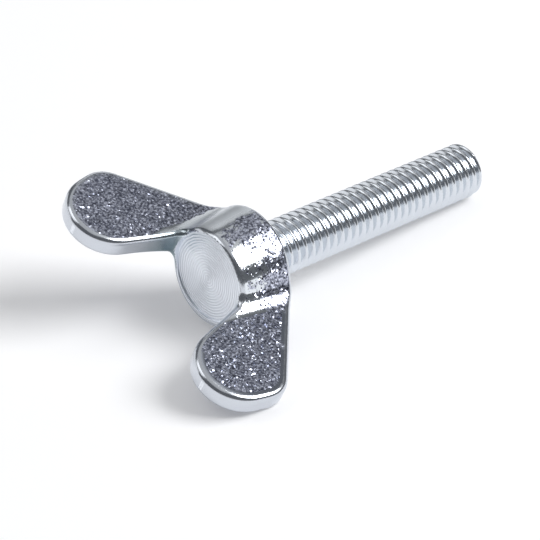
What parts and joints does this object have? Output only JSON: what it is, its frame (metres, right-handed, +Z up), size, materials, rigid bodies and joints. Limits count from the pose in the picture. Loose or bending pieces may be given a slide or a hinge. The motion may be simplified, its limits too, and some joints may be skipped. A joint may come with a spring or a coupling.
{
  "type": "wing screw",
  "caption": "Steel wing screw: a forged head with rounded thumb wings and a faced hub end, on a long threaded shank.",
  "frame": {"origin": "on the table that the screw lies on, below the middle of its bounding box", "axes": "+Z up from the table; +X along the table, the way the thread points (the thread dips about 5 degrees towards the table); the raised wing is on the +Y side"},
  "size_m": [0.0458, 0.0288, 0.0136],
  "materials": {
    "zinc_plated_steel": "zinc plate, bluish white, sparkling rough on the wings and fine-turned on the hub's end"
  },
  "bodies": {
    "root": {"wing_screw": "zinc_plated_steel"}
  },
  "joints": []
}
